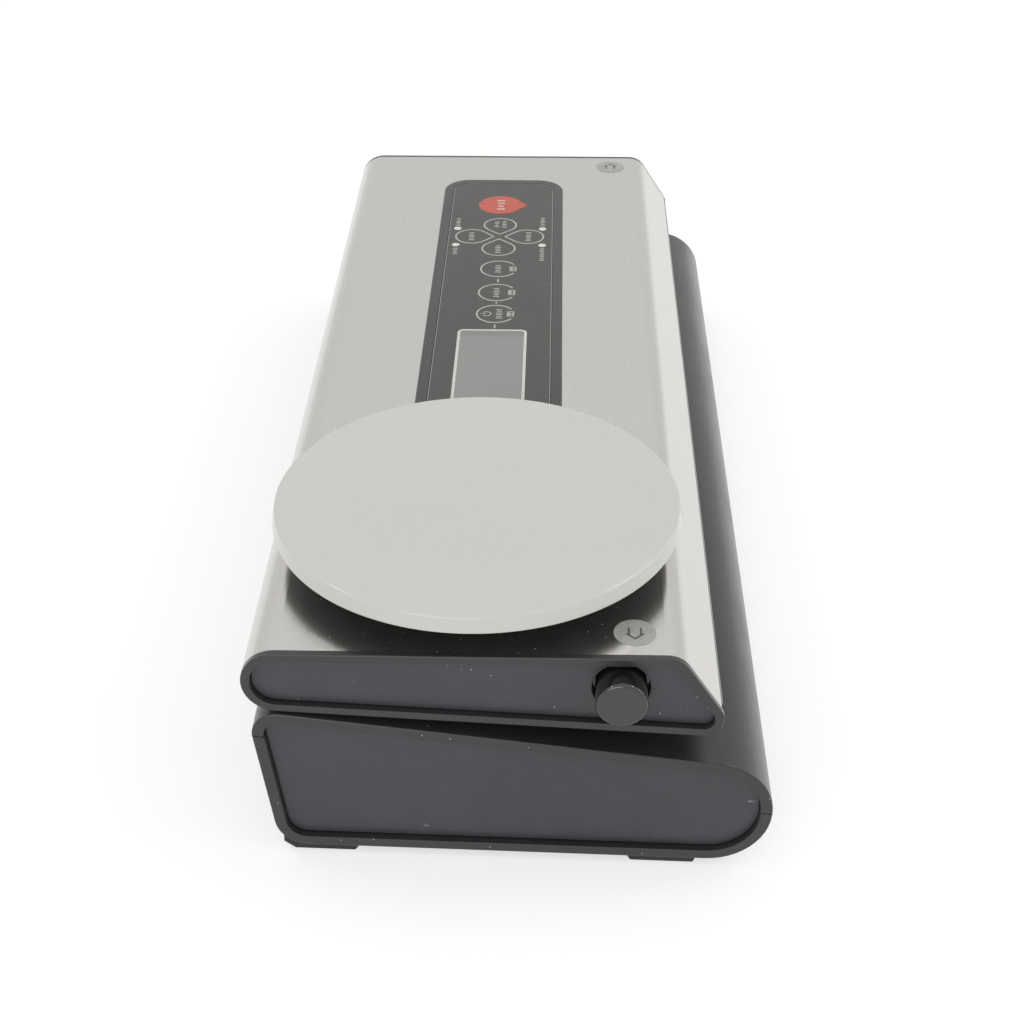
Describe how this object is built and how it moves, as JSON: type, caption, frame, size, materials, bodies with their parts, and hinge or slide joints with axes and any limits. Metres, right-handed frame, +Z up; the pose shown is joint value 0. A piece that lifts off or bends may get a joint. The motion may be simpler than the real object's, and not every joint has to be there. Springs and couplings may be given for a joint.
{
  "type": "vacuum sealer",
  "caption": "Countertop vacuum sealer with a long hinged lid, side release buttons, a control panel and a round scale platform on top.",
  "frame": {"origin": "on the worktop, under the middle of the machine's box, with the lid at its unlatched rest angle", "axes": "+X along the bag slot to the user's right, +Y to the back where the hinge is, +Z up"},
  "size_m": [0.4428, 0.181, 0.1056],
  "materials": {
    "brushed_steel_cover": "fine brushed along the length",
    "black_casing": "satin black moulded",
    "black_panel": "fine-textured dark grey",
    "gloss_black": "polished black",
    "printed_panel": "dark overlay with pale printed outlines",
    "display": "grey liquid-crystal pane",
    "label": "thin grey disc label",
    "platform_plastic": "warm light grey satin",
    "rubber": "matte rubber",
    "foam": "closed-cell foam",
    "silicone": "silicone strip",
    "steel": "plain steel",
    "aluminium": "extruded",
    "non_stick": "woven glass cloth with non-stick coat",
    "circuit_board": "green laminate",
    "copper": "enamelled winding and core",
    "clear_hose": "silicone tube",
    "led": "clear lens",
    "brass": "plated contact"
  },
  "bodies": {
    "base": {"base_upper_casing": "black_casing", "base_lower_casing": "black_casing", "base_side_cover_left": "black_panel", "base_side_cover_right": "black_panel", "rubber_feet": "rubber", "casing_screws": "steel", "power_inlet": "black_casing", "inlet_pins": "brass", "vacuum_channel_tray": "black_casing", "lower_gasket": "foam", "vacuum_port": "steel", "heating_bar": "black_casing", "heating_element": "steel", "non_stick_tape": "non_stick", "vacuum_pump": "black_casing", "pump_motor": "steel", "vacuum_hose": "clear_hose", "power_board": "circuit_board", "transformer": "copper", "lid_switch": "black_casing", "latch_strikers": "steel", "hinge_pins": "steel"},
    "lid": {"lid_steel_cover": "brushed_steel_cover", "lid_inner_casing": "black_casing", "upper_gasket": "foam", "pressure_strip": "silicone", "lid_screws": "steel", "lid_end_cap_left": "black_casing", "lid_end_cap_right": "black_casing", "lid_end_panel_left": "black_panel", "lid_end_panel_right": "black_panel", "button_spring_left": "steel", "button_spring_right": "steel", "control_panel_bezel": "black_casing", "control_membrane": "printed_panel", "display_window": "display", "lcd_module": "black_casing", "control_board": "circuit_board", "indicator_leds": "led", "push_labels": "label", "load_cell": "aluminium"},
    "release_left": {"release_button_left": "gloss_black", "latch_hook_left": "black_casing"},
    "release_right": {"release_button_right": "gloss_black", "latch_hook_right": "black_casing"},
    "scale_carrier": {"scale_carrier": "black_casing"},
    "scale_platform": {"scale_platform": "platform_plastic"}
  },
  "joints": [
    {"name": "lid_hinge", "type": "hinge", "parent": "base", "child": "lid", "pos_m": [0, 0.0785, 0.0742], "axis": [-1, 0, 0], "range_deg": [-4, 70]},
    {"name": "release_left_slide", "type": "slide", "parent": "lid", "child": "release_left", "axis": [1, 0, 0], "range_m": [0, 0.004], "stiffness_N_per_m": 1500, "springref_m": -0.002, "deforming": ["button_spring_left"]},
    {"name": "release_right_slide", "type": "slide", "parent": "lid", "child": "release_right", "axis": [-1, 0, 0], "range_m": [0, 0.004], "stiffness_N_per_m": 1500, "springref_m": -0.002, "deforming": ["button_spring_right"]},
    {"name": "scale_press", "type": "slide", "parent": "lid", "child": "scale_carrier", "axis": [0, 0.0279, 0.9996], "range_m": [-0.0005, 0], "stiffness_N_per_m": 8000, "springref_m": 0.0004},
    {"name": "platform_lift", "type": "slide", "parent": "scale_carrier", "child": "scale_platform", "axis": [0, 0.0279, 0.9996], "range_m": [0, 0.03]}
  ]
}
